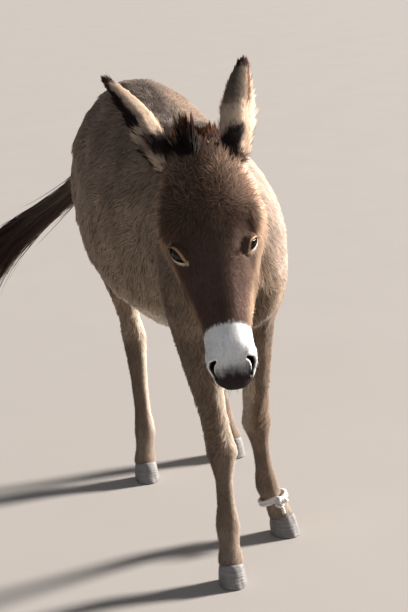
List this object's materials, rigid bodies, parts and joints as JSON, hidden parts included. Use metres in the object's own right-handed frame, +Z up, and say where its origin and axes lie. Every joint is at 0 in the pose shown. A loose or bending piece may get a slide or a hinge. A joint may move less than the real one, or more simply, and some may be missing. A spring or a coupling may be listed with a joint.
{
  "type": "donkey, life-size still model",
  "caption": "Life-size still model of a small grey-brown donkey standing with lowered head, white muzzle, upright ears, swung tail and a rope loop round a fore pastern.",
  "frame": {"origin": "on the floor, under the middle of the whole model's bounding box", "axes": "+Z up from the floor; the donkey faces -Y, its tail end is +Y and its left side is +X"},
  "size_m": [0.7168, 1.456, 1.1583],
  "materials": {
    "coat": "woolly grey-brown hair, dark face and back stripe, pale belly and muzzle",
    "dark_hair": "long coarse blackish hair with red-brown tips",
    "eye": "wet, dark brown",
    "hoof": "dry ringed grey horn",
    "rope": "soft white laid rope, a little dirty"
  },
  "bodies": {
    "root": {"ear_left": "coat", "ear_right": "coat", "eye_left": "eye", "eye_right": "eye", "fore_cannon_left": "coat", "fore_cannon_right": "coat", "fore_hoof_left": "hoof", "fore_hoof_right": "hoof", "fore_pastern_left": "coat", "fore_pastern_right": "coat", "foreleg_left": "coat", "foreleg_right": "coat", "head": "coat", "hind_cannon_left": "coat", "hind_cannon_right": "coat", "hind_hoof_left": "hoof", "hind_hoof_right": "hoof", "hind_pastern_left": "coat", "hind_pastern_right": "coat", "mane": "dark_hair", "neck": "coat", "tail_dock": "coat", "tail_switch": "dark_hair", "tether_knot": "rope", "tether_turns": "rope", "thigh_left": "coat", "thigh_right": "coat", "trunk": "coat"}
  },
  "joints": []
}
